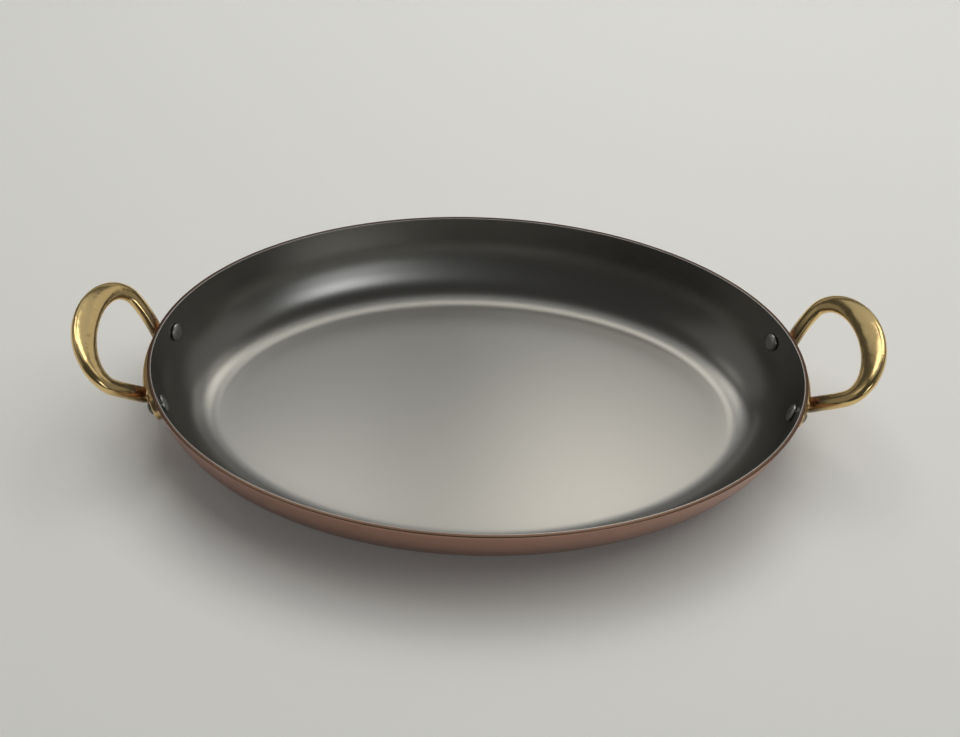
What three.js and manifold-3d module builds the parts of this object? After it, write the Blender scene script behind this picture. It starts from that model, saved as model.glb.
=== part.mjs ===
// An oval copper gratin pan: a copper bowl lined with stainless steel, and two cast bronze loop
// handles that are held by two rivets each.
// Lengths are in millimetres and +Z is up. The origin is the middle of the flat underside, X runs
// from handle to handle, and -Y is the front.

import * as THREE from "three";
import { mergeVertices } from "three/addons/utils/BufferGeometryUtils.js";
import Module from "manifold-3d";

const wasm = await Module();
wasm.setup();

const degree = Math.PI / 180;

// Bowl
const rimLength = 350; // inside the rim, along X
const rimWidth = 230; // inside the rim, along Y
const bowlHeight = 45; // underside to rim
const copperThickness = 1.6;
const liningThickness = 0.5;
const cornerRadius = 25; // inside, where the floor turns up
const cornerTurn = 45 * degree; // how far the corner turns before the wall takes over
const wallArcRadius = 45; // inside, the hollow of the wall
const rimLean = 12 * degree; // of the straight band below the rim, from upright

// Rivets
const rivetSpread = 53; // between the two rivets of a handle, across the pan
const rivetDrop = 12.3; // below the rim, down the slope of the wall
const shankRadius = 2.6;
const innerHeadRadius = 5;
const innerHeadHeight = 2.1;
const outerHeadRadius = 3.5;
const outerHeadHeight = 1.9;

// Handle: a base bar along the wall, a round lug under each rivet, and the loop
const barThickness = 4.7;
const barHalfHeight = 4.3;
const barDrop = 9; // middle of the bar below the rim, down the slope of the wall
const lugRadius = 7.4;
const lugThickness = 3;
const lugEdgeRadius = 1.2;
const loopRootSpread = 42; // between the middles of the legs' feet, inside the bar
const footDrop = 10; // middle of the feet below the rim, down the slope of the wall
const footDepth = 3.9; // of the feet's start, measured like the sheet's depth
const loopWidth = 66.5; // between the middles of the legs where they are widest apart
const legRun = 26.5; // from the feet to that place, measured along the slope of the loop
const loopReach = 46.6; // from the feet to the middle of the grip, measured the same way
const footRun = 4.5; // from the feet to the place where the legs have turned up
const riseAtFoot = 5 * degree; // slope of the legs at the feet, from level
const riseAtBar = 60 * degree; // slope of the legs where they have turned up
const riseAtGrip = 33 * degree; // slope of the grip
const legHalfWidth = 4.3;
const legHalfThickness = 3.1;
const gripHalfWidth = 6.8;
const gripCrown = 2.9; // height of the grip's broad upper face above its middle line
const gripBelly = 3.6; // depth of its rounded underside
const gripStart = 0.4; // share of the reach at which the legs start to broaden
const faceTilt = 3 * degree; // how much flatter than its slope the grip's broad face lies
const sideFullness = 0.85; // of a section's sides and underside, one being an ellipse
const legFlatness = 0.85; // of the upper face, less being flatter
const gripFlatness = 0.4;

// Clearances
const seatGap = 0.3; // between the copper and the handle, and under each rivet head
const rivetHoleGap = 0.3; // around the shank

// Facets
const ovalSegments = 72;
const cornerSteps = 3;
const wallSteps = 4;
const rivetSegments = 18;
const domeSteps = 3;
const lugSegments = 24;
const loopStations = 32;
const barStations = 12;
const sectionSides = 12;

// Worked out from the sizes above
const sheetThickness = copperThickness + liningThickness;
const rimHalfLength = rimLength / 2;
const rimHalfWidth = rimWidth / 2;
const wallEndTurn = 90 * degree - rimLean;
const cornerRise = cornerRadius * (1 - Math.cos(cornerTurn));
const cornerRun = cornerRadius * Math.sin(cornerTurn);
const wallArcRise = wallArcRadius * (Math.cos(cornerTurn) - Math.cos(wallEndTurn));
const wallArcRun = wallArcRadius * (Math.sin(wallEndTurn) - Math.sin(cornerTurn));
const bandRise = bowlHeight - sheetThickness - cornerRise - wallArcRise;
const bandLength = bandRise / Math.cos(rimLean);
const bandRun = bandRise * Math.tan(rimLean);
const floorInset = cornerRun + wallArcRun + bandRun; // from the rim in to the flat floor
const rivetAcross = rivetSpread / 2;

// A profile point is [out, up]: how far outside the rim's inner edge, and the height.
// Depth is measured into the sheet from the cooking surface.
function floorEdge(depth) {
  return [-floorInset, sheetThickness - depth];
}

function cornerPoint(turn, depth) {
  const radius = cornerRadius + depth;
  const centreUp = sheetThickness + cornerRadius;
  return [-floorInset + radius * Math.sin(turn), centreUp - radius * Math.cos(turn)];
}

function wallArcPoint(turn, depth) {
  const radius = wallArcRadius + depth;
  const centreOut = -bandRun - wallArcRadius * Math.sin(wallEndTurn);
  const centreUp = bowlHeight - bandRise + wallArcRadius * Math.cos(wallEndTurn);
  return [centreOut + radius * Math.sin(turn), centreUp - radius * Math.cos(turn)];
}

function rimEdge(depth) {
  return [depth / Math.cos(rimLean), bowlHeight];
}

// The profile of the sheet at one depth, from the floor's edge up to the rim.
function sheetProfile(depth) {
  const points = [floorEdge(depth)];
  for (let i = 1; i <= cornerSteps; i += 1) {
    points.push(cornerPoint((cornerTurn * i) / cornerSteps, depth));
  }
  for (let i = 1; i <= wallSteps; i += 1) {
    const turn = cornerTurn + ((wallEndTurn - cornerTurn) * i) / wallSteps;
    points.push(wallArcPoint(turn, depth));
  }
  points.push(rimEdge(depth));
  return points;
}

// A place on the wall, given down the slope from the rim, as a profile point.
function slopePoint(drop, depth) {
  if (drop > bandLength) {
    return wallArcPoint(wallEndTurn - (drop - bandLength) / wallArcRadius, depth);
  }
  const out = -drop * Math.sin(rimLean) + depth * Math.cos(rimLean);
  const up = bowlHeight - drop * Math.cos(rimLean) - depth * Math.sin(rimLean);
  return [out, up];
}

// A place on the right-hand end of the wall, given by its Y, its drop and its depth.
function wallPoint(across, drop, depth) {
  const [out, up] = slopePoint(drop, depth);
  const sine = across / (rimHalfWidth + out);
  return new THREE.Vector3((rimHalfLength + out) * Math.sqrt(1 - sine * sine), across, up);
}

// The direction straight out of the wall there.
function wallNormal(across, drop) {
  const step = 0.01;
  const base = wallPoint(across, drop, 0);
  const along = wallPoint(across + step, drop, 0).sub(base);
  const down = wallPoint(across, drop + step, 0).sub(base);
  return down.cross(along).normalize();
}

// Solids and meshes
function solidFrom(geometry) {
  const bare = geometry.index ? geometry.toNonIndexed() : geometry.clone();
  for (const name of Object.keys(bare.attributes)) {
    if (name !== "position") bare.deleteAttribute(name);
  }
  const merged = mergeVertices(bare, 1e-4);
  return new wasm.Manifold(
    new wasm.Mesh({
      numProp: 3,
      vertProperties: merged.attributes.position.array,
      triVerts: new Uint32Array(merged.index.array),
    }),
  );
}

function geometryFrom(solid) {
  const mesh = solid.getMesh();
  const geometry = new THREE.BufferGeometry();
  geometry.setAttribute("position", new THREE.BufferAttribute(mesh.vertProperties, 3));
  geometry.setIndex(new THREE.BufferAttribute(mesh.triVerts, 1));
  geometry.computeVertexNormals();
  return geometry;
}

function geometryOf(positions, index) {
  const geometry = new THREE.BufferGeometry();
  geometry.setAttribute("position", new THREE.Float32BufferAttribute(positions, 3));
  geometry.setIndex(index);
  return geometry;
}

// A closed oval solid between two profiles that both run from the flat middle to the outer edge.
// Its quads are split along the same diagonal below and above, so that two nested sheets meet.
function ovalSolid(lower, upper) {
  const rings = [...lower, ...upper.slice().reverse()];
  const positions = [0, 0, lower[0][1]];
  for (const [out, up] of rings) {
    for (let i = 0; i < ovalSegments; i += 1) {
      const angle = (2 * Math.PI * i) / ovalSegments;
      positions.push((rimHalfLength + out) * Math.cos(angle));
      positions.push((rimHalfWidth + out) * Math.sin(angle), up);
    }
  }
  positions.push(0, 0, upper[0][1]);
  const last = positions.length / 3 - 1;
  const at = (ring, i) => 1 + ring * ovalSegments + (i % ovalSegments);
  const index = [];
  for (let i = 0; i < ovalSegments; i += 1) {
    index.push(0, at(0, i + 1), at(0, i));
    for (let ring = 0; ring + 1 < rings.length; ring += 1) {
      const corners = [at(ring, i), at(ring, i + 1), at(ring + 1, i + 1), at(ring + 1, i)];
      if (ring >= lower.length) corners.push(corners.shift());
      index.push(corners[0], corners[1], corners[2], corners[0], corners[2], corners[3]);
    }
    index.push(last, at(rings.length - 1, i), at(rings.length - 1, i + 1));
  }
  return solidFrom(geometryOf(positions, index));
}

// A closed solid through a row of sections that all have the same number of points.
function loftSolid(sections) {
  const sides = sections[0].length;
  const positions = [];
  for (const section of sections) {
    for (const point of section) positions.push(point.x, point.y, point.z);
  }
  const middleOf = (section) =>
    section.reduce((sum, point) => sum.add(point), new THREE.Vector3()).divideScalar(sides);
  const first = middleOf(sections[0]);
  const end = middleOf(sections[sections.length - 1]);
  positions.push(first.x, first.y, first.z, end.x, end.y, end.z);
  const firstMiddle = sections.length * sides;
  const lastRow = sections.length - 1;
  const at = (row, i) => row * sides + (i % sides);
  const index = [];
  for (let i = 0; i < sides; i += 1) {
    index.push(firstMiddle, at(0, i + 1), at(0, i));
    for (let row = 0; row < lastRow; row += 1) {
      index.push(at(row, i), at(row, i + 1), at(row + 1, i + 1));
      index.push(at(row, i), at(row + 1, i + 1), at(row + 1, i));
    }
    index.push(firstMiddle + 1, at(lastRow, i), at(lastRow, i + 1));
  }
  return solidFrom(geometryOf(positions, index));
}

// A turned solid whose outline is [radius, height], stood on the wall at one rivet's place.
function turnedSolid(outline, segments, across) {
  const points = outline.map(([radius, height]) => new THREE.Vector2(radius, height));
  const geometry = new THREE.LatheGeometry(points, segments);
  const upright = new THREE.Vector3(0, 1, 0);
  const turn = new THREE.Quaternion().setFromUnitVectors(upright, wallNormal(across, rivetDrop));
  geometry.applyQuaternion(turn);
  const seat = wallPoint(across, rivetDrop, 0);
  geometry.translate(seat.x, seat.y, seat.z);
  return solidFrom(geometry);
}

// Rivets: heights run along the shank, outwards from the cooking surface
const tightestCurve = Math.min(wallArcRadius, (rimHalfWidth * rimHalfWidth) / rimHalfLength);
const headSag = (innerHeadRadius * innerHeadRadius) / (2 * tightestCurve);
const innerSeat = -(seatGap + headSag);
const outerSeat = sheetThickness + seatGap + lugThickness + seatGap;

// Points of a shallow dome from its edge to its top, on the axis.
function domeOutline(radius, seat, height) {
  const points = [];
  for (let i = 0; i <= domeSteps; i += 1) {
    const angle = (90 * degree * i) / domeSteps;
    points.push([radius * Math.cos(angle), seat + height * Math.sin(angle)]);
  }
  points[domeSteps][0] = 0;
  return points;
}

function rivetSolid(across) {
  const innerDome = domeOutline(innerHeadRadius, innerSeat, -innerHeadHeight);
  const outerDome = domeOutline(outerHeadRadius, outerSeat, outerHeadHeight);
  const shank = [
    [shankRadius, innerSeat],
    [shankRadius, outerSeat],
  ];
  return turnedSolid([...innerDome.reverse(), ...shank, ...outerDome], rivetSegments, across);
}

function borePlug(radius, from, to, across) {
  const outline = [
    [0, from],
    [radius, from],
    [radius, to],
    [0, to],
  ];
  return turnedSolid(outline, rivetSegments, across);
}

function rivetHole(across) {
  const reach = outerSeat + outerHeadHeight;
  return borePlug(shankRadius + rivetHoleGap, -reach, reach, across);
}

// Room for the outer head, cut into the root of the leg above it.
function spotFace(across) {
  const top = outerSeat + outerHeadHeight + seatGap;
  return borePlug(outerHeadRadius + seatGap, outerSeat - seatGap, top, across);
}

// Both sheets have the same holes at both ends of the pan.
function drilled(sheet) {
  let result = sheet;
  for (const across of [rivetAcross, -rivetAcross]) {
    const hole = rivetHole(across);
    result = result.subtract(hole).subtract(hole.rotate([0, 0, 180]));
  }
  return result;
}

function copperShell() {
  return drilled(ovalSolid(sheetProfile(sheetThickness), sheetProfile(liningThickness)));
}

function steelLining() {
  return drilled(ovalSolid(sheetProfile(liningThickness), sheetProfile(0)));
}

// Handle
const loopFoot = wallPoint(loopRootSpread / 2, footDrop, footDepth);

// Seen from the side the loop is two arcs: a tight one where the legs leave the bar and turn up,
// and a long one that flattens towards the grip. An arc's bend is its change of slope with run.
const footBend = (riseAtBar - riseAtFoot) / footRun;
const loopBend = (riseAtGrip - riseAtBar) / (loopReach - footRun);

function arcEnd(x, z, slope, bend, run) {
  const end = slope + bend * run;
  return {
    x: x + (Math.sin(end) - Math.sin(slope)) / bend,
    z: z + (Math.cos(slope) - Math.cos(end)) / bend,
    slope: end,
  };
}

// A place on the loop's middle line, given along its slope and across the pan.
function loopPlace(run, across) {
  const footPart = Math.min(run, footRun);
  let place = arcEnd(loopFoot.x, loopFoot.z, riseAtFoot, footBend, footPart);
  if (run > footRun) {
    place = arcEnd(place.x, place.z, riseAtBar, loopBend, run - footRun);
  }
  return { middle: new THREE.Vector3(place.x, across, place.z), slope: place.slope };
}

// The loop laid flat: a leg that swings out, half an oval, and the other leg.
function loopPath() {
  const root = loopRootSpread / 2;
  const widest = loopWidth / 2;
  const swing = legRun * 0.8;
  const path = new THREE.Path();
  path.moveTo(0, -root);
  path.quadraticCurveTo(swing, -widest, legRun, -widest);
  path.ellipse(0, widest, loopReach - legRun, widest, -90 * degree, 90 * degree, false, 0);
  path.quadraticCurveTo(swing, widest, 0, root);
  return path.getSpacedPoints(loopStations);
}

// One section of the loop: broad and nearly flat on top, rounded below.
function loopSection(point, heading) {
  const share = Math.max(0, (point.x / loopReach - gripStart) / (1 - gripStart));
  const broad = share * share;
  const halfWidth = THREE.MathUtils.lerp(legHalfWidth, gripHalfWidth, broad);
  const crown = THREE.MathUtils.lerp(legHalfThickness, gripCrown, broad);
  const belly = THREE.MathUtils.lerp(legHalfThickness, gripBelly, broad);
  const { middle, slope } = loopPlace(point.x, point.y);
  const lean = slope - faceTilt * broad;
  const side = new THREE.Vector3(Math.cos(lean), 0, Math.sin(lean)).multiplyScalar(-heading.y);
  side.y = heading.x;
  const up = new THREE.Vector3(-Math.sin(lean), 0, Math.cos(lean));
  const flatness = THREE.MathUtils.lerp(legFlatness, gripFlatness, broad);
  const section = [];
  for (let i = 0; i < sectionSides; i += 1) {
    const angle = (2 * Math.PI * i) / sectionSides;
    const rise = Math.sin(angle);
    const height = rise > 0 ? crown * rise ** flatness : -belly * (-rise) ** sideFullness;
    const reach = Math.sign(Math.cos(angle)) * Math.abs(Math.cos(angle)) ** sideFullness;
    const corner = middle.clone().addScaledVector(side, halfWidth * reach);
    section.push(corner.addScaledVector(up, height));
  }
  return section;
}

function loopSolid() {
  const points = loopPath();
  const sections = points.map((point, i) => {
    const before = points[Math.max(0, i - 1)];
    const after = points[Math.min(points.length - 1, i + 1)];
    return loopSection(point, after.clone().sub(before).normalize());
  });
  return loftSolid(sections);
}

// The bar follows the wall from rivet to rivet. Its back reaches into the seat, which is cut later.
function barSolid() {
  const face = sheetThickness + seatGap + barThickness;
  const back = sheetThickness / 2;
  const middle = (face + back) / 2;
  const halfThickness = (face - back) / 2;
  const sections = [];
  for (let row = 0; row <= barStations; row += 1) {
    const across = -rivetAcross + (2 * rivetAcross * row) / barStations;
    const section = [];
    for (let i = 0; i < sectionSides; i += 1) {
      const angle = (2 * Math.PI * i) / sectionSides;
      const drop = barDrop - barHalfHeight * Math.cos(angle);
      const squared = Math.sign(Math.sin(angle)) * Math.sqrt(Math.abs(Math.sin(angle)));
      section.push(wallPoint(across, drop, middle + halfThickness * squared));
    }
    sections.push(section);
  }
  return loftSolid(sections);
}

function lugSolid(across) {
  const face = sheetThickness + seatGap + lugThickness;
  const outline = [
    [0, sheetThickness / 2],
    [lugRadius, sheetThickness / 2],
  ];
  for (let i = 0; i <= domeSteps; i += 1) {
    const angle = (90 * degree * i) / domeSteps;
    const radius = lugRadius - lugEdgeRadius * (1 - Math.cos(angle));
    outline.push([radius, face - lugEdgeRadius * (1 - Math.sin(angle))]);
  }
  outline.push([0, face]);
  return turnedSolid(outline, lugSegments, across);
}

// The bowl's outside, grown by the seat's clearance, which trims the back of a handle.
function seatCutter() {
  const depth = sheetThickness + seatGap;
  const lid = [[-floorInset, bowlHeight]];
  return ovalSolid(sheetProfile(depth), lid);
}

function handleSolid() {
  let casting = loopSolid().add(barSolid());
  for (const across of [rivetAcross, -rivetAcross]) {
    casting = casting.add(lugSolid(across));
  }
  casting = casting.subtract(seatCutter());
  for (const across of [rivetAcross, -rivetAcross]) {
    casting = casting.subtract(spotFace(across)).subtract(rivetHole(across));
  }
  return casting;
}

const copper = new THREE.MeshStandardMaterial({ color: 0xb07a63, roughness: 0.36, metalness: 1 });
const satinSteel = new THREE.MeshStandardMaterial({
  color: 0xb9b6ad,
  roughness: 0.4,
  metalness: 1,
});
const bronze = new THREE.MeshStandardMaterial({ color: 0xd8b468, roughness: 0.16, metalness: 1 });
const rivetSteel = new THREE.MeshStandardMaterial({
  color: 0xa3a19b,
  roughness: 0.3,
  metalness: 1,
});

function piece(name, solid, material) {
  const mesh = new THREE.Mesh(geometryFrom(solid), material);
  mesh.name = name;
  return mesh;
}

const pan = new THREE.Group();
pan.add(piece("copper_shell", copperShell(), copper));
pan.add(piece("steel_lining", steelLining(), satinSteel));

const ends = [
  { side: "right", turn: 0, rear: 1 },
  { side: "left", turn: Math.PI, rear: -1 },
];
for (const end of ends) {
  const group = new THREE.Group();
  group.rotation.z = end.turn;
  group.add(piece(`handle_${end.side}`, handleSolid(), bronze));
  for (const [row, sign] of [["rear", 1], ["front", -1]]) {
    const rivet = rivetSolid(sign * end.rear * rivetAcross);
    group.add(piece(`rivet_${end.side}_${row}`, rivet, rivetSteel));
  }
  pan.add(group);
}

export default pan;
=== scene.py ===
"""Dresses an oval copper gratin pan around its CAD frame: bowl, lining, handles and rivets.

Every length is in metres, in the frame of the CAD model: the origin is the middle of the
underside, X runs from handle to handle, -Y is the front and +Z is up.
"""

import math

import bmesh
import bpy
from mathutils import Matrix, Vector


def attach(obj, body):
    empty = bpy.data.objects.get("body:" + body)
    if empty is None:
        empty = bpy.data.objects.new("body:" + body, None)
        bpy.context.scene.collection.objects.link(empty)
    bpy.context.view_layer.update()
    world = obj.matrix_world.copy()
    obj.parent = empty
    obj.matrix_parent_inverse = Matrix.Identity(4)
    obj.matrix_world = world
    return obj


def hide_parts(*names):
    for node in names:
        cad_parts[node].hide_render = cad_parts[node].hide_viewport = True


bl_info = {
    "name": "Copper Gratin Pan",
    "version": (1, 0, 0),
    "blender": (4, 5, 0),
    "location": "View3D > Sidebar > Gratin Pan",
    "description": "Makes the visible pieces, finishes and stage of an oval copper gratin pan",
    "category": "Add Mesh",
}

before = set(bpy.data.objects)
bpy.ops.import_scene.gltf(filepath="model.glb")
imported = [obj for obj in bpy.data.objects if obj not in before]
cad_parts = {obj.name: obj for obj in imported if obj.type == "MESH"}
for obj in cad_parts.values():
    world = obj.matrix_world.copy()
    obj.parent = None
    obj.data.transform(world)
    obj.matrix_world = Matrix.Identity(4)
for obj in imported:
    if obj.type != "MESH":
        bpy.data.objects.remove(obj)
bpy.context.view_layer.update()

BODY = "root"

# How finely the meshes are divided
OVAL_SEGMENTS = 256
TURNED_SEGMENTS = 48
SECTION_POINTS = 40
HEAD_STEPS = 12

# Turned outlines start and end this far from their axis
POLE_RADIUS = 1e-6

# Sharp lines appear where a surface turns by more than this, in degrees
SHEET_CREASE = 30
CASTING_CREASE = 40


# Sizes and colours that a user would change


def length(name, description, default):
    return bpy.props.FloatProperty(
        name=name, description=description, default=default, min=0.0, unit="LENGTH", precision=5
    )


def slope(name, description, degrees):
    return bpy.props.FloatProperty(
        name=name, description=description, default=math.radians(degrees), subtype="ANGLE"
    )


def colour(name, description, default):
    return bpy.props.FloatVectorProperty(
        name=name, description=description, default=default, size=3, min=0.0, max=1.0, subtype="COLOR"
    )


def share(name, description, default):
    return bpy.props.FloatProperty(
        name=name, description=description, default=default, min=0.0, max=1.0, subtype="FACTOR"
    )


class BowlSizes(bpy.types.PropertyGroup):
    """Sizes of the oval bowl, as in the CAD model."""

    rim_length: length("Rim length", "Inside the rim, from end to end", 0.350)
    rim_width: length("Rim width", "Inside the rim, from front to rear", 0.230)
    height: length("Height", "From the underside to the rim", 0.045)
    copper: length("Copper", "Thickness of the copper", 0.0016)
    lining: length("Lining", "Thickness of the steel lining", 0.0005)
    corner_radius: length("Corner radius", "Inside, where the floor turns up", 0.025)
    corner_turn: slope("Corner turn", "How far the corner turns before the wall takes over", 45)
    wall_radius: length("Wall radius", "Inside, the hollow of the wall", 0.045)
    rim_lean: slope("Rim lean", "Of the band below the rim, from upright", 12)
    edge_radius: length("Edge radius", "Rounding of the rim's two edges", 0.00035)


class HandleSizes(bpy.types.PropertyGroup):
    """Sizes of the two cast handles, as in the CAD model."""

    bar_thickness: length("Bar thickness", "Of the bar that lies along the wall", 0.0047)
    bar_half_height: length("Bar half height", "Half of the bar's height", 0.0043)
    bar_drop: length("Bar drop", "Middle of the bar below the rim", 0.009)
    lug_radius: length("Lug radius", "Of the round lug under each rivet", 0.0074)
    lug_thickness: length("Lug thickness", "Of the round lug under each rivet", 0.003)
    lug_edge: length("Lug edge", "Rounding of the lug's edge", 0.0012)
    foot_spread: length("Foot spread", "Between the middles of the legs' feet", 0.042)
    foot_drop: length("Foot drop", "Middle of the feet below the rim", 0.010)
    foot_depth: length("Foot depth", "Of the feet's start, from the cooking surface", 0.0039)
    loop_width: length("Loop width", "Between the legs where they are widest apart", 0.0665)
    leg_run: length("Leg run", "From the feet to the widest place, along the loop", 0.0265)
    loop_reach: length("Loop reach", "From the feet to the middle of the grip", 0.04655)
    foot_run: length("Foot run", "From the feet to where the legs have turned up", 0.0045)
    foot_rise: slope("Foot rise", "Slope of the legs at the feet", 5)
    bar_rise: slope("Bar rise", "Slope of the legs where they have turned up", 60)
    grip_rise: slope("Grip rise", "Slope of the grip's middle line", 33)
    face_tilt: slope("Face tilt", "How much flatter the grip's broad face lies", 3)
    leg_half_width: length("Leg half width", "Half of a leg's width", 0.0043)
    leg_half_thickness: length("Leg half thickness", "Half of a leg's thickness", 0.0032)
    grip_half_width: length("Grip half width", "Half of the grip's width", 0.0068)
    grip_crown: length("Grip crown", "Height of the grip's broad face", 0.0029)
    grip_belly: length("Grip belly", "Depth of the grip's underside", 0.0036)
    grain: length("Casting grain", "Size of the cells that the casting is blended with", 0.00042)


class RivetSizes(bpy.types.PropertyGroup):
    """Sizes of the four rivets, as in the CAD model."""

    spread: length("Spread", "Between the two rivets of a handle", 0.053)
    drop: length("Drop", "Below the rim, down the slope of the wall", 0.0123)
    shank: length("Shank radius", "Of the rivet's shank", 0.0026)
    inner_head: length("Inner head radius", "Of the head in the bowl", 0.005)
    inner_height: length("Inner head height", "Of the head in the bowl", 0.0021)
    outer_head: length("Outer head radius", "Of the hammered head", 0.0035)
    outer_height: length("Outer head height", "Of the hammered head", 0.0019)
    gap: length("Gap", "Clearance at the shank, the heads and the handle", 0.0003)


class Finishes(bpy.types.PropertyGroup):
    """Colours and polish of the metals and the stage."""

    copper: colour("Copper", "Satin copper of the outside", (0.54, 0.305, 0.225))
    copper_dull: share("Copper dullness", "Roughness of the copper", 0.30)
    steel: colour("Lining steel", "Satin steel of the cooking surface", (0.375, 0.366, 0.342))
    steel_dull: share("Steel dullness", "Roughness of the lining", 0.29)
    bronze: colour("Bronze", "Polished bronze of the handles", (0.86, 0.63, 0.29))
    bronze_dull: share("Bronze dullness", "Roughness of the bronze", 0.12)
    rivet: colour("Rivet steel", "Steel of the rivets", (0.62, 0.62, 0.60))
    rivet_dull: share("Rivet dullness", "Roughness of the rivets", 0.29)
    # Painted dark reflection on the rim's cut edge
    edge: colour("Cut edge", "Browned copper of the rim's cut edge", (0.17, 0.105, 0.075))
    # Oxide close to the wall, partly painted shade there
    patina_and_shade: colour("Patina", "Browned bronze close to the wall", (0.55, 0.40, 0.24))
    # Painted shade where the legs leave the wall
    corner_shade: colour("Corner brown", "Bronze where the legs leave the wall", (0.17, 0.125, 0.08))
    tarnish: colour("Tarnish", "Rivet heads on the outside", (0.16, 0.155, 0.145))
    floor: colour("Floor", "Pale table top", (0.92, 0.925, 0.90))
    floor_glow: share("Floor glow", "Paleness that the floor shows beyond its own colour", 0.05)


# Shapes


class Bowl:
    """The bowl's sheet, described by how far out of the rim and how high its points lie."""

    def __init__(self, sizes):
        self.sizes = sizes
        self.sheet = sizes.copper + sizes.lining
        self.half_length = sizes.rim_length / 2
        self.half_width = sizes.rim_width / 2
        self.wall_end = math.radians(90) - sizes.rim_lean
        turn, radius = sizes.corner_turn, sizes.corner_radius
        corner_rise = radius * (1 - math.cos(turn))
        wall_rise = sizes.wall_radius * (math.cos(turn) - math.cos(self.wall_end))
        wall_run = sizes.wall_radius * (math.sin(self.wall_end) - math.sin(turn))
        self.band_rise = sizes.height - self.sheet - corner_rise - wall_rise
        self.band_run = self.band_rise * math.tan(sizes.rim_lean)
        self.band_length = self.band_rise / math.cos(sizes.rim_lean)
        self.floor_inset = radius * math.sin(turn) + wall_run + self.band_run

    def corner(self, turn, depth):
        """A point of the rounded corner, this deep in the sheet."""
        radius = self.sizes.corner_radius + depth
        up = self.sheet + self.sizes.corner_radius
        return -self.floor_inset + radius * math.sin(turn), up - radius * math.cos(turn)

    def wall_arc(self, turn, depth):
        """A point of the hollow wall, where its slope has this turn."""
        hollow = self.sizes.wall_radius
        radius = hollow + depth
        out = -self.band_run - hollow * math.sin(self.wall_end)
        up = self.sizes.height - self.band_rise + hollow * math.cos(self.wall_end)
        return out + radius * math.sin(turn), up - radius * math.cos(turn)

    def slope(self, drop, depth):
        """The profile point that lies this far down the slope from the rim."""
        if drop > self.band_length:
            turn = self.wall_end - (drop - self.band_length) / self.sizes.wall_radius
            return self.wall_arc(turn, depth)
        lean = self.sizes.rim_lean
        out = -drop * math.sin(lean) + depth * math.cos(lean)
        return out, self.sizes.height - drop * math.cos(lean) - depth * math.sin(lean)

    def rim(self, depth):
        """A point of the flat rim."""
        return depth / math.cos(self.sizes.rim_lean), self.sizes.height

    def profile(self, depth, floor_rings=10, corner_steps=10, wall_steps=14, band_steps=6):
        """One face of the sheet from its flat middle to just below the rim."""
        floor_reach = self.half_width * 0.63
        points = []
        for i in range(1, floor_rings + 1):
            inward = floor_reach * (1 - i / floor_rings)
            points.append((-self.floor_inset - inward, self.sheet - depth))
        for i in range(1, corner_steps + 1):
            points.append(self.corner(self.sizes.corner_turn * i / corner_steps, depth))
        start = self.sizes.corner_turn
        for i in range(1, wall_steps + 1):
            turn = start + (self.wall_end - start) * i / wall_steps
            points.append(self.wall_arc(turn, depth))
        for i in range(1, band_steps):
            points.append(self.slope(self.band_length * (1 - i / band_steps), depth))
        return points

    def place(self, across, drop, depth):
        """A point on the right-hand end of the wall."""
        out, up = self.slope(drop, depth)
        sine = across / (self.half_width + out)
        return Vector(((self.half_length + out) * math.sqrt(1 - sine * sine), across, up))

    def outward(self, across, drop):
        """The direction straight out of the wall at such a point."""
        step = 1e-5
        base = self.place(across, drop, 0)
        along = self.place(across + step, drop, 0) - base
        down = self.place(across, drop + step, 0) - base
        return down.cross(along).normalized()


def skin_rings(mesh, first, rows, last):
    """Faces from a first point through rings of points to a last one."""
    count = len(rows[0])
    for i in range(count):
        j = (i + 1) % count
        mesh.faces.new((first, rows[0][j], rows[0][i]))
        for lower, upper in zip(rows, rows[1:]):
            mesh.faces.new((lower[i], lower[j], upper[j], upper[i]))
        mesh.faces.new((last, rows[-1][i], rows[-1][j]))


def oval_mesh(name, bowl, rings):
    """A closed oval skin through rings of (out, up), from one flat middle to the other."""
    mesh = bmesh.new()
    first = mesh.verts.new((0, 0, rings[0][1]))
    rows = []
    for out, up in rings:
        row = []
        for i in range(OVAL_SEGMENTS):
            angle = 2 * math.pi * i / OVAL_SEGMENTS
            x = (bowl.half_length + out) * math.cos(angle)
            y = (bowl.half_width + out) * math.sin(angle)
            row.append(mesh.verts.new((x, y, up)))
        rows.append(row)
    last = mesh.verts.new((0, 0, rings[-1][1]))
    skin_rings(mesh, first, rows, last)
    return finished_mesh(name, mesh)


def finished_mesh(name, mesh):
    """Turns a bmesh into mesh data of this name."""
    data = bpy.data.meshes.new(name)
    mesh.to_mesh(data)
    mesh.free()
    return data


def new_piece(name, data):
    piece = bpy.data.objects.new(name, data)
    bpy.context.scene.collection.objects.link(piece)
    return piece


def quarter(centre_out, centre_up, radius, first, second, steps=4):
    """Points of a quarter circle between two directions, given in degrees."""
    points = []
    for i in range(steps + 1):
        angle = math.radians(first + (second - first) * i / steps)
        points.append((centre_out + radius * math.cos(angle), centre_up + radius * math.sin(angle)))
    return points


def add_loft(mesh, sections):
    """Adds a closed skin through sections that all have the same number of points."""
    rows = [[mesh.verts.new(point) for point in section] for section in sections]
    sides = len(rows[0])
    for row, following in zip(rows, rows[1:]):
        for i in range(sides):
            j = (i + 1) % sides
            mesh.faces.new((row[i], row[j], following[j], following[i]))
    mesh.faces.new(list(reversed(rows[0])))
    mesh.faces.new(rows[-1])


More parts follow.
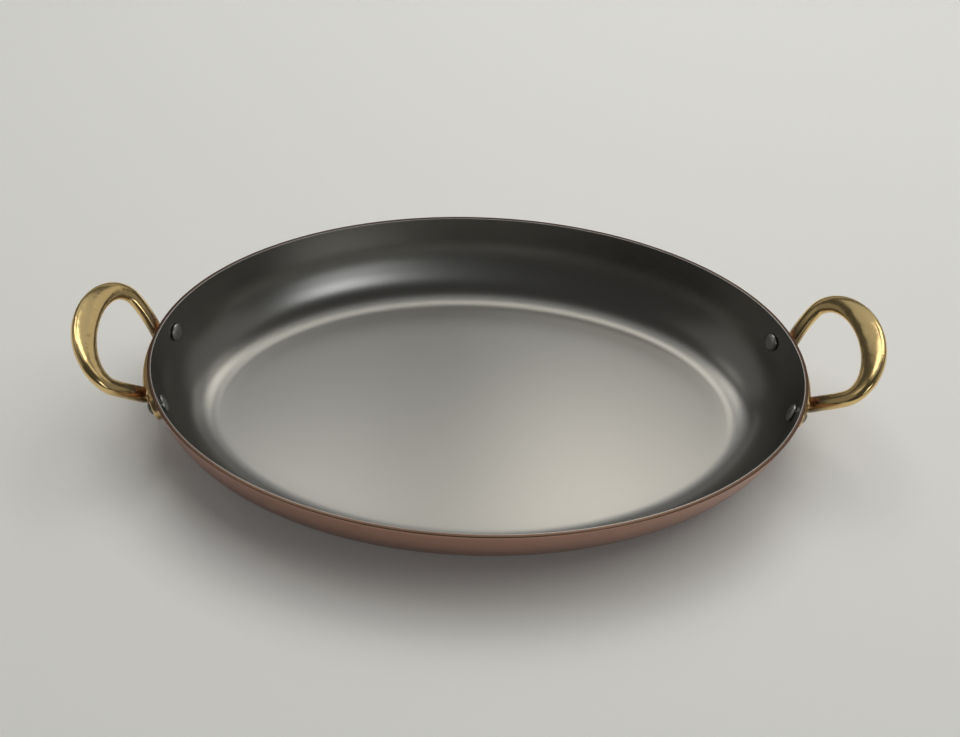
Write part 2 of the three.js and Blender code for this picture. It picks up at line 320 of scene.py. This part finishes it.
def add_turned(mesh, outline, seat, axis):
    """Adds a turned solid whose outline is (radius, height), stood at seat along axis."""
    turn = Vector((0, 0, 1)).rotation_difference(axis)
    first = mesh.verts.new(seat + turn @ Vector((0, 0, outline[0][1])))
    rows = []
    for radius, height in outline:
        row = []
        for i in range(TURNED_SEGMENTS):
            angle = 2 * math.pi * i / TURNED_SEGMENTS
            point = Vector((radius * math.cos(angle), radius * math.sin(angle), height))
            row.append(mesh.verts.new(seat + turn @ point))
        rows.append(row)
    last = mesh.verts.new(seat + turn @ Vector((0, 0, outline[-1][1])))
    skin_rings(mesh, first, rows, last)


def turned(name, outline, seat, axis):
    """One turned solid as mesh data."""
    mesh = bmesh.new()
    add_turned(mesh, outline, seat, axis)
    return finished_mesh(name, mesh)


def settle(piece):
    """Applies a piece's modifiers to its mesh."""
    graph = bpy.context.evaluated_depsgraph_get()
    old = piece.data
    piece.data = bpy.data.meshes.new_from_object(piece.evaluated_get(graph))
    piece.modifiers.clear()
    bpy.data.meshes.remove(old)


def cut(piece, tools):
    """Cuts closed meshes out of a piece."""
    for tool in tools:
        cutter = new_piece("cutter", tool)
        step = piece.modifiers.new("cut", "BOOLEAN")
        step.operation = "DIFFERENCE"
        step.solver = "MANIFOLD"
        step.object = cutter
        settle(piece)
        bpy.data.objects.remove(cutter)
        bpy.data.meshes.remove(tool)


def turned_over(data):
    """The same mesh at the other end of the pan."""
    copy = data.copy()
    copy.transform(Matrix.Rotation(math.pi, 4, "Z"))
    return copy


def shade(piece, degrees):
    """Smooth shading with a crisp line wherever the surface turns by more than this."""
    data = piece.data
    for face in data.polygons:
        face.use_smooth = True
    data.set_sharp_from_angle(angle=math.radians(degrees))


def dress(piece, material, slot, *nodes):
    """Gives a piece its finish, its body and the CAD nodes that it stands for."""
    piece.data.materials.clear()
    piece.data.materials.append(material)
    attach(piece, BODY)
    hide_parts(*nodes)


# Rivets: heights run along the shank, outwards from the cooking surface


class Rivets:
    """Where the rivets sit, and the holes that they need."""

    def __init__(self, bowl, rivets, handles):
        self.bowl = bowl
        self.sizes = rivets
        curve = min(bowl.sizes.wall_radius, bowl.half_width**2 / bowl.half_length)
        self.inner_seat = -(rivets.gap + rivets.inner_head**2 / (2 * curve))
        self.outer_seat = bowl.sheet + 2 * rivets.gap + handles.lug_thickness
        self.across = rivets.spread / 2

    def stand(self, across):
        """The seat and the direction of the rivet at this place of the right-hand end."""
        drop = self.sizes.drop
        return self.bowl.place(across, drop, 0), self.bowl.outward(across, drop)

    def plug(self, radius, low, high, across):
        return turned("plug", [(radius, low), (radius, high)], *self.stand(across))

    def holes(self):
        """Tools for the two holes through lining, copper and lugs."""
        reach = self.outer_seat + self.sizes.outer_height
        radius = self.sizes.shank + self.sizes.gap
        return [self.plug(radius, -reach, reach, side * self.across) for side in (1, -1)]

    def spot_faces(self):
        """Tools that clear the lugs under the outer heads."""
        low = self.outer_seat - self.sizes.gap
        high = self.outer_seat + self.sizes.outer_height + self.sizes.gap
        radius = self.sizes.outer_head + self.sizes.gap
        return [self.plug(radius, low, high, side * self.across) for side in (1, -1)]

    def outline(self):
        """A low dome inside, the shank, and a hammered head with a flat top outside."""
        sizes = self.sizes
        brim = 0.00045
        brim_foot = brim * 0.3
        inner_foot, outer_foot = sizes.inner_head * 0.97, sizes.outer_head * 0.95
        flat_top = 0.8
        turns = [math.radians(90 * i / HEAD_STEPS) for i in range(HEAD_STEPS + 1)]
        points = []
        for angle in turns:
            rise = (sizes.inner_height - brim) * math.cos(angle)
            radius = max(sizes.inner_head * math.sin(angle), POLE_RADIUS)
            points.append((radius, self.inner_seat - brim - rise))
        points.append((sizes.inner_head, self.inner_seat - brim_foot))
        points.append((inner_foot, self.inner_seat))
        points.append((sizes.shank, self.inner_seat))
        points.append((sizes.shank, self.outer_seat))
        points.append((outer_foot, self.outer_seat))
        for angle in turns:
            radius = max(sizes.outer_head * math.cos(angle) ** flat_top, POLE_RADIUS)
            points.append((radius, self.outer_seat + sizes.outer_height * math.sin(angle)))
        return points


# Handles


class Loop:
    """The loop's middle line: two arcs seen from the side, legs and half an oval seen flat."""

    # How far along a leg its curve is pulled, as a share of the leg
    leg_swing = 0.8
    # Where the section starts to broaden, as a share of the reach
    broad_start = 0.4
    # Powers of the section's curve: one is round, and less is flatter or fuller
    leg_flatness = 0.85
    grip_flatness = 0.4
    side_fullness = 0.85

    def __init__(self, bowl, sizes):
        self.sizes = sizes
        self.foot = bowl.place(sizes.foot_spread / 2, sizes.foot_drop, sizes.foot_depth)
        self.foot_bend = (sizes.bar_rise - sizes.foot_rise) / sizes.foot_run
        self.loop_bend = (sizes.grip_rise - sizes.bar_rise) / (sizes.loop_reach - sizes.foot_run)

    @staticmethod
    def arc(x, z, rise, bend, run):
        """The end of an arc that starts at this place and slope."""
        end = rise + bend * run
        x += (math.sin(end) - math.sin(rise)) / bend
        z += (math.cos(rise) - math.cos(end)) / bend
        return x, z, end

    def place(self, run, across):
        """A point of the middle line and its slope there."""
        sizes = self.sizes
        part = min(run, sizes.foot_run)
        x, z, rise = self.arc(self.foot.x, self.foot.z, sizes.foot_rise, self.foot_bend, part)
        if run > sizes.foot_run:
            x, z, rise = self.arc(x, z, sizes.bar_rise, self.loop_bend, run - sizes.foot_run)
        return Vector((x, across, z)), rise

    def path(self, leg_steps=48, round_steps=72):
        """(run, across) points of the loop laid flat, from the front foot to the rear one."""
        sizes = self.sizes
        root, widest = sizes.foot_spread / 2, sizes.loop_width / 2
        swing = sizes.leg_run * self.leg_swing
        leg = []
        for i in range(leg_steps):
            t = i / leg_steps
            run = 2 * t * (1 - t) * swing + t * t * sizes.leg_run
            leg.append((run, root + (widest - root) * (1 - (1 - t) ** 2)))
        points = [(run, -across) for run, across in leg]
        for i in range(round_steps + 1):
            angle = math.radians(-90 + 180 * i / round_steps)
            run = sizes.leg_run + (sizes.loop_reach - sizes.leg_run) * math.cos(angle)
            points.append((run, widest * math.sin(angle)))
        return points + list(reversed(leg))

    def section(self, point, heading):
        """One section, from round at the legs to broad and flat on top at the grip."""
        sizes = self.sizes
        run, across = point
        start = self.broad_start
        broad = max(0.0, (run / sizes.loop_reach - start) / (1 - start)) ** 2

        def between(leg, grip):
            return leg + (grip - leg) * broad

        half_width = between(sizes.leg_half_width, sizes.grip_half_width)
        crown = between(sizes.leg_half_thickness, sizes.grip_crown)
        belly = between(sizes.leg_half_thickness, sizes.grip_belly)
        flatness = between(self.leg_flatness, self.grip_flatness)
        fullness = self.side_fullness
        middle, rise = self.place(run, across)
        lean = rise - sizes.face_tilt * broad
        along = Vector((math.cos(lean), 0, math.sin(lean)))
        up = Vector((-math.sin(lean), 0, math.cos(lean)))
        side = along * -heading[1] + Vector((0, heading[0], 0))
        points = []
        for i in range(SECTION_POINTS):
            angle = 2 * math.pi * i / SECTION_POINTS
            sine, cosine = math.sin(angle), math.cos(angle)
            height = crown * sine**flatness if sine > 0 else -belly * (-sine) ** fullness
            reach = math.copysign(abs(cosine) ** fullness, cosine)
            points.append(middle + side * half_width * reach + up * height)
        return points

    def sections(self):
        """The loop's sections from the front foot to the rear one."""
        points = self.path()
        rows = []
        for i, point in enumerate(points):
            before = points[max(0, i - 1)]
            after = points[min(len(points) - 1, i + 1)]
            run, across = after[0] - before[0], after[1] - before[1]
            size = math.hypot(run, across)
            rows.append(self.section(point, (run / size, across / size)))
        return rows


def bar_sections(bowl, sizes, rivets, stations=40):
    """The bar from rivet to rivet, with its back reaching into the wall."""
    face = bowl.sheet + rivets.gap + sizes.bar_thickness
    back = bowl.sheet / 2
    middle, half = (face + back) / 2, (face - back) / 2
    rows = []
    for row in range(stations + 1):
        across = rivets.spread * (row / stations - 0.5)
        points = []
        for i in range(SECTION_POINTS):
            angle = 2 * math.pi * i / SECTION_POINTS
            drop = sizes.bar_drop - sizes.bar_half_height * math.cos(angle)
            squared = math.copysign(math.sqrt(abs(math.sin(angle))), math.sin(angle))
            points.append(bowl.place(across, drop, middle + half * squared))
        rows.append(points)
    return rows


def lug_outline(bowl, sizes, rivets, edge_steps=8):
    """A round lug with a rounded edge, its back reaching into the wall."""
    face = bowl.sheet + rivets.gap + sizes.lug_thickness
    outline = [(sizes.lug_radius, bowl.sheet / 2)]
    inset = sizes.lug_radius - sizes.lug_edge
    return outline + quarter(inset, face - sizes.lug_edge, sizes.lug_edge, 0, 90, edge_steps)


def wall_seat(bowl, depth):
    """A solid as large as the bowl and its gap, closed by a lid just above the rim."""
    lid_height = bowl.sizes.height * 1.02
    lid_middle = -bowl.floor_inset - bowl.half_width * 0.6
    rings = bowl.profile(depth) + [bowl.rim(depth)]
    rings.append((rings[-1][0], lid_height))
    rings.append((lid_middle, lid_height))
    return oval_mesh("seat", bowl, rings)


def right_handle(bowl, sizes, rivets, riveting):
    """The right-hand casting: loop, bar and lugs run into each other with soft corners."""
    mesh = bmesh.new()
    add_loft(mesh, Loop(bowl, sizes).sections())
    add_loft(mesh, bar_sections(bowl, sizes, rivets))
    for side in (1, -1):
        seat, axis = riveting.stand(side * riveting.across)
        add_turned(mesh, lug_outline(bowl, sizes, rivets), seat, axis)
    piece = new_piece("handle_right_casting", finished_mesh("handle_right_casting", mesh))
    blend = piece.modifiers.new("blend", "REMESH")
    blend.mode = "VOXEL"
    blend.voxel_size = sizes.grain
    blend.adaptivity = 0.0
    settle(piece)
    soften = piece.modifiers.new("soften", "SMOOTH")
    soften.factor = 0.5
    soften.iterations = 8
    settle(piece)
    cut(piece, [wall_seat(bowl, bowl.sheet + rivets.gap)])
    cut(piece, riveting.spot_faces() + riveting.holes())
    return piece


# Finishes


class Wire:
    """A value in a node tree that Python's operators work on."""

    def __init__(self, tree, socket):
        self.tree = tree
        self.socket = socket

    def join(self, operation, other=None, swapped=False):
        values = [self, other] if other is not None else [self]
        if swapped:
            values.reverse()
        inputs = dict(enumerate(values))
        return self.tree.node("ShaderNodeMath", {"operation": operation}, inputs).out()

    def __add__(self, other):
        return self.join("ADD", other)

    def __sub__(self, other):
        return self.join("SUBTRACT", other)

    def __mul__(self, other):
        return self.join("MULTIPLY", other)

    def __truediv__(self, other):
        return self.join("DIVIDE", other)

    def __pow__(self, other):
        return self.join("POWER", other)

    def __rsub__(self, other):
        return self.join("SUBTRACT", other, swapped=True)

    def __rtruediv__(self, other):
        return self.join("DIVIDE", other, swapped=True)

    __radd__ = __add__
    __rmul__ = __mul__

    def root(self):
        return self.join("SQRT")

    def within(self, low, high):
        """Nought below low, one above high, and a smooth step between."""
        settings = {"interpolation_type": "SMOOTHSTEP"}
        inputs = {"Value": self, "From Min": low, "From Max": high}
        return self.tree.node("ShaderNodeMapRange", settings, inputs).out()


class Made:
    """A node whose outputs come as wires."""

    def __init__(self, tree, node):
        self.tree = tree
        self.node = node

    def out(self, key=0):
        return Wire(self.tree, self.node.outputs[key])


# The colour sockets of a Mix node, by their number
COLOUR_A = 6
COLOUR_B = 7
COLOUR_RESULT = 2


def solid(tint):
    """A colour as a node's socket takes it."""
    return tint if isinstance(tint, Wire) else (*tint, 1.0)


def scaled(tint, factor):
    """A darker or lighter shade of a colour."""
    return tuple(min(1.0, value * factor) for value in tint)


class Tree:
    """A node tree with one method that makes any node."""

    def __init__(self, tree):
        self.tree = tree
        self.tree.nodes.clear()

    def node(self, kind, settings=None, inputs=None):
        node = self.tree.nodes.new(kind)
        for key, value in (settings or {}).items():
            setattr(node, key, value)
        for key, value in (inputs or {}).items():
            if isinstance(value, Wire):
                self.tree.links.new(value.socket, node.inputs[key])
            else:
                node.inputs[key].default_value = value
        return Made(self, node)

    def position(self):
        return self.node("ShaderNodeTexCoord").out("Object")

    def parts(self, vector):
        split = self.node("ShaderNodeSeparateXYZ", inputs={0: vector})
        return split.out("X"), split.out("Y"), split.out("Z")

    def vector(self, x, y, z):
        return self.node("ShaderNodeCombineXYZ", inputs={0: x, 1: y, 2: z}).out()

    def noise(self, vector, scale, detail=2.0, roughness=0.5):
        inputs = {"Vector": vector, "Scale": scale, "Detail": detail, "Roughness": roughness}
        return self.node("ShaderNodeTexNoise", inputs=inputs).out("Fac")

    def blend(self, factor, first, second):
        """Mixes two colours, each a wire or three numbers."""
        inputs = {"Factor": factor, COLOUR_A: solid(first), COLOUR_B: solid(second)}
        return self.node("ShaderNodeMix", {"data_type": "RGBA"}, inputs).out(COLOUR_RESULT)

    def shades(self, factor, tint, low, high):
        """A colour between a darker and a lighter shade of its own."""
        return self.blend(factor, scaled(tint, low), scaled(tint, high))

    def bump(self, height, strength, distance):
        inputs = {"Height": height, "Strength": strength, "Distance": distance}
        return self.node("ShaderNodeBump", inputs=inputs).out()


def new_material(name):
    material = bpy.data.materials.new(name)
    material.use_nodes = True
    return material, Tree(material.node_tree)


def metal_output(tree, base, roughness, normal):
    """Ends a material's nodes in a bare metal surface."""
    inputs = {"Base Color": base, "Metallic": 1.0, "Roughness": roughness, "Normal": normal}
    surface = tree.node("ShaderNodeBsdfPrincipled", inputs=inputs).out()
    tree.node("ShaderNodeOutputMaterial", inputs={"Surface": surface})


def oval_share(bowl, x, y):
    """How far out a place lies, seen from above: one on the rim's inner edge."""
    return ((x / bowl.half_length) ** 2 + (y / bowl.half_width) ** 2).root()


def satin_steel(finishes):
    """Evenly dulled steel with a fine grain and faint clouds."""
    material, tree = new_material("satin_lining_steel")
    place = tree.position()
    clouds = tree.noise(place, scale=14.0, detail=3.0)
    grain = tree.noise(place, scale=2600.0)
    base = tree.shades(clouds, finishes.steel, low=0.96, high=1.04)
    dull = finishes.steel_dull - 0.03 + clouds * 0.04 + grain * 0.02
    metal_output(tree, base, dull, tree.bump(grain, strength=0.08, distance=0.00003))
    return material


def satin_copper(finishes, bowl):
    """Copper brushed along ovals that follow the rim, with painted shade low down and a painted dark
    reflection on its cut edge.
    """
    material, tree = new_material("satin_copper")
    place = tree.position()
    x, y, z = tree.parts(place)
    oval = oval_share(bowl, x, y)
    along, across, outwards = 6.0, 900.0, 0.16
    around = tree.vector(x * along, y * along, (oval * outwards + z) * across)
    brushed = tree.noise(around, scale=1.0, detail=4.0, roughness=0.6)
    clouds = tree.noise(place, scale=22.0, detail=3.0)
    base = tree.shades(clouds, finishes.copper, low=0.95, high=1.12)
    # Heights of the painted shade on the copper's lower part, and the darkest shade that it goes down
    # to
    full_shade_below, no_shade_above, deepest_shade = 0.012, 0.041, 0.38
    low = 1.0 - z.within(full_shade_below, no_shade_above)
    base = tree.blend(low * 0.8, base, scaled(finishes.copper, deepest_shade))
    # Painted dark reflection along the top of the copper's cut edge
    painted_rim_start, painted_rim_end = bowl.sizes.height - 0.0006, bowl.sizes.height - 0.0002
    base = tree.blend(z.within(painted_rim_start, painted_rim_end), base, finishes.edge)
    dull = finishes.copper_dull - 0.06 + clouds * 0.06 + brushed * 0.06
    metal_output(tree, base, dull, tree.bump(brushed, strength=0.25, distance=0.00003))
    return material


def polished_bronze(finishes, bowl):
    """Hand-polished bronze: low waves, hairlines, a browner skin close to the wall that is partly
    oxide and partly painted shade, and painted shade where the legs leave the wall.
    """
    material, tree = new_material("polished_bronze")
    place = tree.position()
    x, y, z = tree.parts(place)
    waves = tree.noise(place, scale=110.0)
    along, across = 60.0, 500.0
    stretched = tree.vector(x * across, y * along, z * across)
    hairlines = tree.noise(stretched, scale=1.0, detail=3.0)
    oval = oval_share(bowl, x, y)
    # Limits as shares of the rim's oval, and as distances from the long axis
    wall, lug_faces, patina_and_shade_end = 1.025, 1.04, 1.085
    bar_middle, legs = 0.013, 0.019
    # Browner bronze close to the wall: partly oxide, partly painted shade where the handle meets the
    # wall
    patina_and_shade_mask = 1.0 - oval.within(wall, patina_and_shade_end)
    by_legs = (y * y).root().within(bar_middle, legs)
    corner_shade_mask = patina_and_shade_mask * by_legs * oval.within(wall, lug_faces)
    base = tree.blend(patina_and_shade_mask * 0.6, finishes.bronze, finishes.patina_and_shade)
    # Painted shade in the corners where the legs leave the wall
    base = tree.blend(corner_shade_mask * 0.9, base, finishes.corner_shade)
    dull = finishes.bronze_dull + waves * 0.04 + hairlines * 0.04 + patina_and_shade_mask * 0.14
    height = waves + hairlines * 0.12
    metal_output(tree, base, dull, tree.bump(height, strength=0.45, distance=0.0004))
    return material


def rivet_steel(finishes, bowl):
    """Steel, a little hammered, and tarnished on the outside."""
    material, tree = new_material("rivet_steel")
    place = tree.position()
    x, y, z = tree.parts(place)
    hammered = tree.noise(place, scale=420.0)
    base = tree.shades(hammered, finishes.rivet, low=0.85, high=1.1)
    just_inside, just_outside = 0.99, 1.01
    outside = oval_share(bowl, x, y).within(just_inside, just_outside)
    base = tree.blend(outside, base, finishes.tarnish)
    dull = finishes.rivet_dull + hammered * 0.1
    metal_output(tree, base, dull, tree.bump(hammered, strength=0.3, distance=0.00015))
    return material


def table_top(finishes):
    """A plain pale floor with the faintest clouds."""
    material, tree = new_material("pale_floor")
    clouds = tree.noise(tree.position(), scale=1.3, detail=3.0)
    base = tree.shades(clouds, finishes.floor, low=0.97, high=1.03)
    path = tree.node("ShaderNodeLightPath")
    seen = path.out("Is Camera Ray") + path.out("Is Glossy Ray") + path.out("Is Transmission Ray")
    glow = tree.blend(seen, (0, 0, 0), (finishes.floor_glow,) * 3)
    inputs = {
        "Base Color": base,
        "Roughness": 0.7,
        "Specular IOR Level": 0.2,
        "Emission Color": glow,
        "Emission Strength": 1.0,
    }
    surface = tree.node("ShaderNodeBsdfPrincipled", inputs=inputs).out()
    tree.node("ShaderNodeOutputMaterial", inputs={"Surface": surface})
    return material


# Operators, one for each piece or pair of pieces


def shapes(scene):
    """The bowl and the sizes of the handles and rivets, as the scene has them."""
    bowl = Bowl(scene.gratin_bowl)
    return bowl, scene.gratin_handles, scene.gratin_rivets


class MakeShell(bpy.types.Operator):
    """Makes the copper outside of the bowl."""

    bl_idname = "gratin.copper_shell"
    bl_label = "Copper shell"

    def execute(self, context):
        bowl, handles, rivets = shapes(context.scene)
        sizes = bowl.sizes
        edge = sizes.edge_radius
        rings = bowl.profile(bowl.sheet)
        out = bowl.rim(bowl.sheet)[0]
        rings += quarter(out - edge, sizes.height - edge, edge, 0, 90)
        rings.append(bowl.rim(sizes.lining))
        rings += reversed(bowl.profile(sizes.lining))
        piece = new_piece("bowl_outside", oval_mesh("bowl_outside", bowl, rings))
        for hole in Rivets(bowl, rivets, handles).holes():
            cut(piece, [turned_over(hole), hole])
        shade(piece, SHEET_CREASE)
        dress(piece, satin_copper(context.scene.gratin_finishes, bowl), "copper", "copper_shell")
        return {"FINISHED"}


class MakeLining(bpy.types.Operator):
    """Makes the steel lining of the bowl."""

    bl_idname = "gratin.steel_lining"
    bl_label = "Steel lining"

    def execute(self, context):
        bowl, handles, rivets = shapes(context.scene)
        sizes = bowl.sizes
        edge = sizes.lining * 0.4
        rings = bowl.profile(sizes.lining)
        rings.append(bowl.rim(sizes.lining))
        rings += quarter(edge, sizes.height - edge, edge, 90, 180)
        rings += reversed(bowl.profile(0))
        piece = new_piece("bowl_inside", oval_mesh("bowl_inside", bowl, rings))
        for hole in Rivets(bowl, rivets, handles).holes():
            cut(piece, [turned_over(hole), hole])
        shade(piece, SHEET_CREASE)
        dress(piece, satin_steel(context.scene.gratin_finishes), "satin_steel", "steel_lining")
        return {"FINISHED"}


class MakeHandles(bpy.types.Operator):
    """Makes both cast loop handles."""

    bl_idname = "gratin.handles"
    bl_label = "Handles"

    def execute(self, context):
        bowl, handles, rivets = shapes(context.scene)
        riveting = Rivets(bowl, rivets, handles)
        bronze = polished_bronze(context.scene.gratin_finishes, bowl)
        right = right_handle(bowl, handles, rivets, riveting)
        left = new_piece("handle_left_casting", turned_over(right.data))
        for piece, node in ((right, "handle_right"), (left, "handle_left")):
            shade(piece, CASTING_CREASE)
            dress(piece, bronze, "bronze", node)
        return {"FINISHED"}


class MakeRivets(bpy.types.Operator):
    """Makes the four rivets."""

    bl_idname = "gratin.rivets"
    bl_label = "Rivets"

    def execute(self, context):
        bowl, handles, rivets = shapes(context.scene)
        riveting = Rivets(bowl, rivets, handles)
        steel = rivet_steel(context.scene.gratin_finishes, bowl)
        rows = {"rear": 1, "front": -1}
        for row, side in rows.items():
            for end in ("right", "left"):
                across = side * riveting.across * (1 if end == "right" else -1)
                name = f"{end}_{row}_rivet"
                data = turned(name, riveting.outline(), *riveting.stand(across))
                if end == "left":
                    data.transform(Matrix.Rotation(math.pi, 4, "Z"))
                piece = new_piece(name, data)
                shade(piece, CASTING_CREASE)
                dress(piece, steel, "rivet_steel", f"rivet_{end}_{row}")
        return {"FINISHED"}


WARM = (1.0, 0.985, 0.95)
AMBER = (1.0, 0.97, 0.91)
COOL = (0.93, 0.97, 1.0)

LAMP_DISTANCE = 1.7

# Name, azimuth from the rear towards the right, elevation, width, height, radiance and tint
LAMPS = (
    ("rear_left_softbox", -17, 58, 0.54, 0.44, 1.95, WARM),
    ("rear_right_softbox", 24, 56, 0.54, 0.50, 2.35, AMBER),
    ("rear_high_softbox", 0, 76, 0.80, 0.40, 0.38, COOL),
    ("right_softbox", 56, 52, 0.50, 0.50, 0.55, WARM),
    ("left_softbox", -68, 50, 0.50, 0.50, 0.40, WARM),
    ("rear_panel", 4, 43, 1.50, 0.40, 0.40, COOL),
    ("rear_low_panel", 0, 21, 2.40, 0.40, 0.28, WARM),
    ("rear_right_panel", 40, 29, 0.70, 0.40, 0.42, WARM),
    ("right_wall_panel", 82, 30, 2.00, 1.60, 0.16, WARM),
    ("left_wall_panel", -82, 30, 2.00, 1.60, 0.14, WARM),
)

# The same for the windows in front, which show in the metal and light no floor
WINDOWS = (
    ("front_high_window", 146, 39, 0.45, 0.42, 2.80, COOL),
    ("front_window", 150, 22, 0.60, 0.40, 1.00, COOL),
)

# The same for the lamp over the table, which the polished metal doesn't mirror
TABLE_LAMP = ("table_softbox", 40, 70, 2.20, 1.60, 1.36, WARM)


def add_softbox(name, azimuth, elevation, width, height, radiance, tint):
    """A flat lamp that faces the pan. Radiance is how bright it looks, one being white."""
    az, el = math.radians(azimuth), math.radians(elevation)
    aim = Vector((math.sin(az) * math.cos(el), math.cos(az) * math.cos(el), math.sin(el)))
    data = bpy.data.lights.new(name, "AREA")
    data.shape = "RECTANGLE"
    data.size = width
    data.size_y = height
    data.energy = radiance * math.pi * width * height
    data.color = tint
    lamp = bpy.data.objects.new(name, data)
    lamp.location = aim * LAMP_DISTANCE
    lamp.rotation_euler = aim.to_track_quat("Z", "Y").to_euler()
    bpy.context.scene.collection.objects.link(lamp)
    return lamp


ROOM_TINT = (1.0, 0.99, 0.97, 1.0)
ROOM_STRENGTH = 0.055
FLOOR_HALF = 6.0


def set_world(scene):
    """A dim grey room."""
    world = bpy.data.worlds.new("room")
    scene.world = world
    world.use_nodes = True
    tree = Tree(world.node_tree)
    inputs = {"Color": ROOM_TINT, "Strength": ROOM_STRENGTH}
    surface = tree.node("ShaderNodeBackground", inputs=inputs).out()
    tree.node("ShaderNodeOutputWorld", inputs={"Surface": surface})


def set_camera(scene):
    """The photograph's view: where it looks, from how far, and its small roll and shift."""
    azimuth, elevation, roll = math.radians(-3.008), math.radians(47.072), math.radians(3.126)
    distance = 0.6734
    target = Vector((-0.02378, 0.03253, 0))
    level = math.cos(elevation)
    back = Vector((math.sin(azimuth) * level, -math.cos(azimuth) * level, math.sin(elevation)))
    right = Vector((math.cos(azimuth), math.sin(azimuth), 0))
    up = back.cross(right)
    rolled_right = right * math.cos(roll) + up * math.sin(roll)
    rolled_up = up * math.cos(roll) - right * math.sin(roll)
    data = bpy.data.cameras.new("camera")
    data.sensor_width = 36.0
    data.lens = 43.125
    data.shift_x = 0.05
    data.clip_start = 0.01
    camera = bpy.data.objects.new("camera", data)
    turn = Matrix((rolled_right, rolled_up, back)).transposed().to_4x4()
    camera.matrix_world = Matrix.Translation(target + back * distance) @ turn
    scene.collection.objects.link(camera)
    scene.camera = camera


class MakeStage(bpy.types.Operator):
    """Makes the floor, the lamps, the room's light and the camera."""

    bl_idname = "gratin.stage"
    bl_label = "Stage"

    def execute(self, context):
        scene = context.scene
        mesh = bmesh.new()
        bmesh.ops.create_grid(mesh, x_segments=1, y_segments=1, size=FLOOR_HALF)
        floor = new_piece("floor", finished_mesh("floor", mesh))
        floor.data.materials.append(table_top(scene.gratin_finishes))
        for lamp in LAMPS:
            add_softbox(*lamp)
        for window in WINDOWS:
            add_softbox(*window).visible_diffuse = False
        add_softbox(*TABLE_LAMP).visible_glossy = False
        set_world(scene)
        set_camera(scene)
        scene.view_settings.view_transform = "Standard"
        return {"FINISHED"}


class GratinPanel(bpy.types.Panel):
    """Lists the pieces of the pan."""

    bl_idname = "VIEW3D_PT_gratin_pan"
    bl_label = "Gratin Pan"
    bl_space_type = "VIEW_3D"
    bl_region_type = "UI"
    bl_category = "Gratin Pan"

    def draw(self, context):
        for operator in OPERATORS:
            self.layout.operator(operator.bl_idname)
        for name in SETTINGS:
            group = getattr(context.scene, name)
            box = self.layout.box()
            for key in group.bl_rna.properties.keys():
                if key not in ("rna_type", "name"):
                    box.prop(group, key)


OPERATORS = (MakeShell, MakeLining, MakeHandles, MakeRivets, MakeStage)
SETTINGS = {
    "gratin_bowl": BowlSizes,
    "gratin_handles": HandleSizes,
    "gratin_rivets": RivetSizes,
    "gratin_finishes": Finishes,
}


def register():
    for group in SETTINGS.values():
        bpy.utils.register_class(group)
    for operator in OPERATORS:
        bpy.utils.register_class(operator)
    bpy.utils.register_class(GratinPanel)
    for name, group in SETTINGS.items():
        setattr(bpy.types.Scene, name, bpy.props.PointerProperty(type=group))


def unregister():
    for name in SETTINGS:
        delattr(bpy.types.Scene, name)
    bpy.utils.unregister_class(GratinPanel)
    for operator in reversed(OPERATORS):
        bpy.utils.unregister_class(operator)
    for group in reversed(list(SETTINGS.values())):
        bpy.utils.unregister_class(group)


def main():
    register()
    bpy.ops.gratin.copper_shell()
    bpy.ops.gratin.steel_lining()
    bpy.ops.gratin.handles()
    bpy.ops.gratin.rivets()
    bpy.ops.gratin.stage()


if __name__ == "__main__":
    main()
